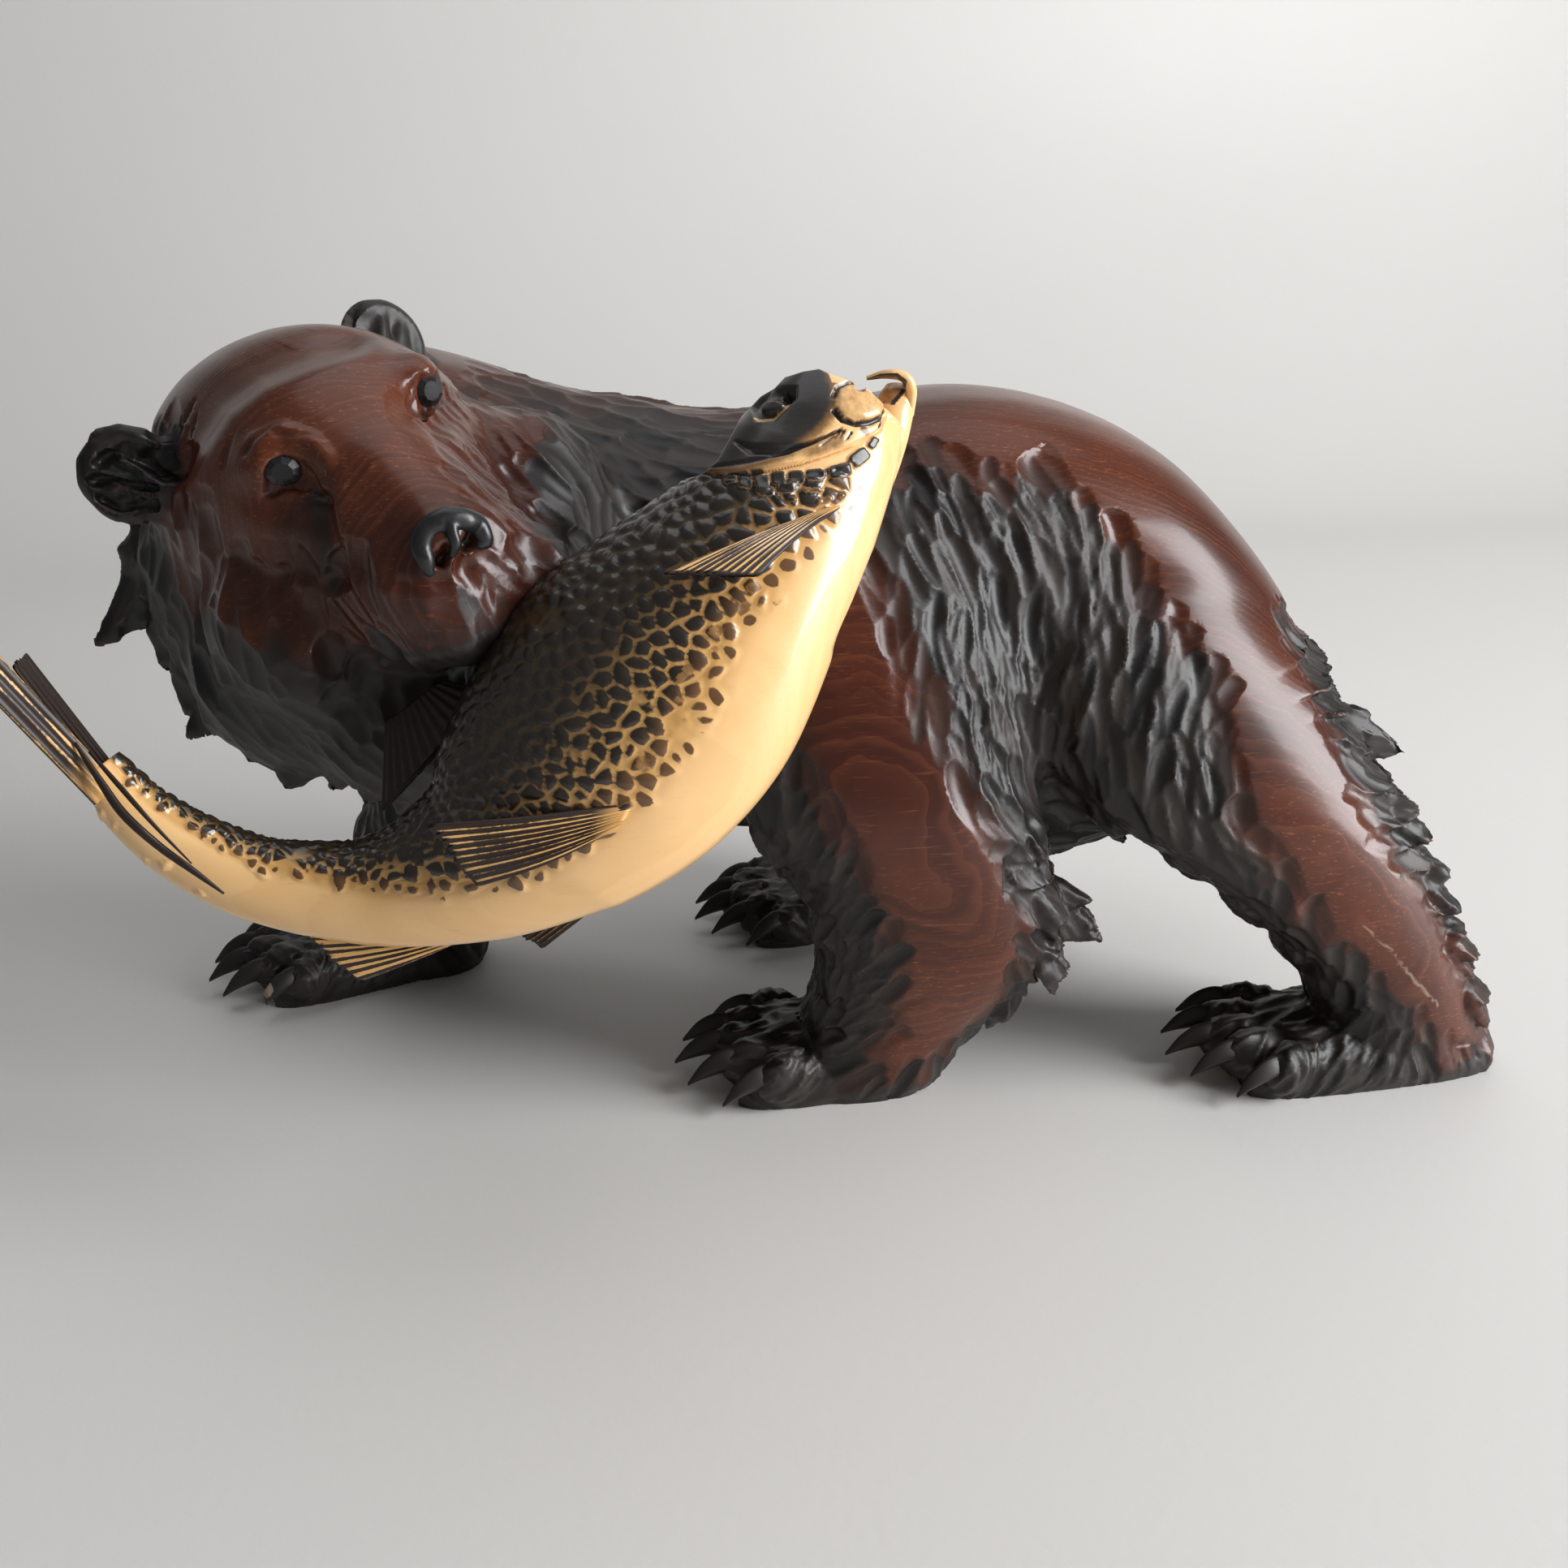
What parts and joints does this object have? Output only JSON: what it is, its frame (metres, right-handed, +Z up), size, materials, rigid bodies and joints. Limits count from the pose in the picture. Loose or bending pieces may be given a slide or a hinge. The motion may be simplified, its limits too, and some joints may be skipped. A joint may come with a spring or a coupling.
{
  "type": "carved wooden bear",
  "caption": "Walking bear carved from one block of wood, head turned back over its shoulder with a salmon held across its mouth.",
  "frame": {"origin": "middle of the footprint of the outer box, on the floor under the paws", "axes": "+Z up; the bear walks towards -X; its left side, with the salmon, is on -Y"},
  "size_m": [0.5812, 0.3128, 0.316],
  "materials": {
    "carved_wood": "stained and lacquered"
  },
  "bodies": {
    "root": {"carved_bear": "carved_wood"}
  },
  "joints": []
}
